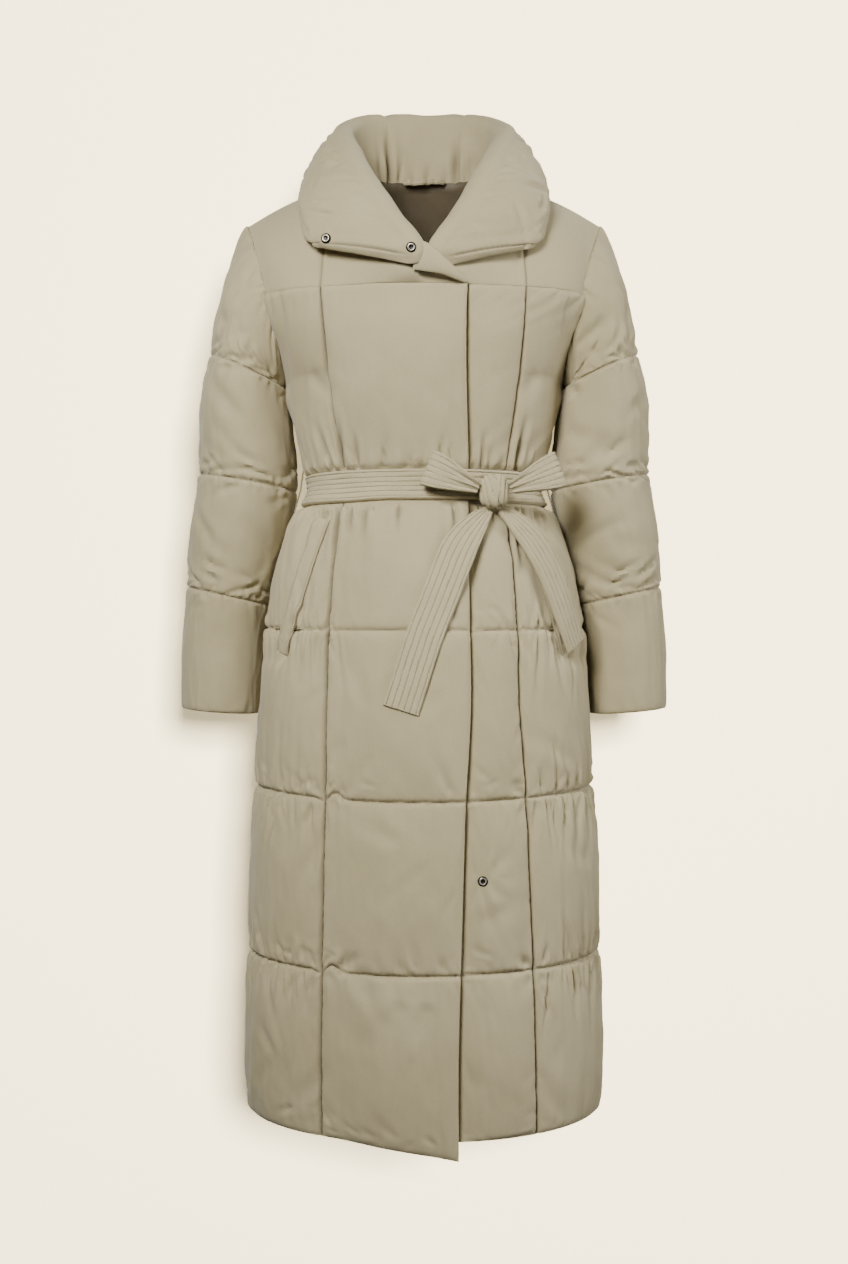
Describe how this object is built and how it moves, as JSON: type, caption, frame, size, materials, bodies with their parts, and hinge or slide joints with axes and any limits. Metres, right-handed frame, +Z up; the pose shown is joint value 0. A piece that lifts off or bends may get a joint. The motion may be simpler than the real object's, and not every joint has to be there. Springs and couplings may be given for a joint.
{
  "type": "long puffer coat",
  "caption": "Long belted down coat, quilted in wide baffles, with a tall collar rolled open, an off-centre lap, a tied belt, slanted pocket welts and press studs.",
  "frame": {"origin": "where the coat hangs on the wearer: midway between the shoulders, level with the base of the neck", "axes": "+Z up, the front faces -Y, +X towards the wearer's left"},
  "size_m": [0.6186, 0.3567, 1.2978],
  "materials": {
    "shell_cloth": "matt, fine plain weave over down",
    "belt_cloth": "matt, fine plain weave, stitched in rows",
    "lining_cloth": "smooth lining in shade",
    "snap_metal": "dark gunmetal"
  },
  "bodies": {
    "root": {"front_centre_right": "shell_cloth", "front_centre_left": "shell_cloth", "front_side_right": "shell_cloth", "front_side_left": "shell_cloth", "back_centre": "shell_cloth", "back_side_right": "shell_cloth", "back_side_left": "shell_cloth", "front_yoke_right": "shell_cloth", "front_yoke_left": "shell_cloth", "back_yoke": "shell_cloth", "sleeve_right": "shell_cloth", "sleeve_left": "shell_cloth", "collar": "shell_cloth", "front_neck_band": "shell_cloth", "neck_lining": "lining_cloth", "hanger_loop": "shell_cloth", "pocket_welt_right": "shell_cloth", "pocket_welt_left": "shell_cloth", "belt": "belt_cloth", "bow_knot": "belt_cloth", "bow_loop_right": "belt_cloth", "bow_loop_left": "belt_cloth", "belt_end_right": "belt_cloth", "belt_end_left": "belt_cloth", "belt_carrier_right": "shell_cloth", "belt_carrier_left": "shell_cloth", "collar_snap_outer": "snap_metal", "collar_snap_inner": "snap_metal", "front_snap": "snap_metal"}
  },
  "joints": []
}
